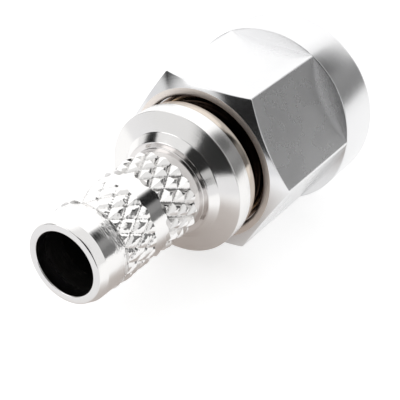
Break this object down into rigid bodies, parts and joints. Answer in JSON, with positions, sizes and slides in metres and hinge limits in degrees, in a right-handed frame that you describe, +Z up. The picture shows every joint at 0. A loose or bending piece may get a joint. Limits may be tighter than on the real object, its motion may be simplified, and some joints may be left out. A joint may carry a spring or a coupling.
{
  "type": "sma connector",
  "caption": "Crimp plug for thin coaxial cable, with a free-turning hexagonal coupling nut, a centre pin and a diamond-knurled crimp stub.",
  "frame": {"origin": "on the ground under the middle of the overall length", "axes": "+X along the connector's axis towards the cable end; +Z up, square to one flat of the nut"},
  "size_m": [0.0184, 0.0092, 0.0092],
  "materials": {
    "body_nickel": "bright nickel plating on brass",
    "nut_nickel": "bright nickel plating on brass",
    "spring_bronze": "bare phosphor bronze",
    "silicone": "matt moulded",
    "ptfe": "waxy matt",
    "gold": "gold plating on brass"
  },
  "bodies": {
    "plug": {"body": "body_nickel", "snap_ring": "spring_bronze", "gasket": "silicone", "dielectric": "ptfe", "centre_contact": "gold"},
    "nut": {"coupling_nut": "nut_nickel"}
  },
  "joints": [
    {"name": "nut_spin", "type": "hinge", "parent": "plug", "child": "nut", "pos_m": [-0.00495, 0, 0.0046], "axis": [1, 0, 0], "continuous": true}
  ]
}
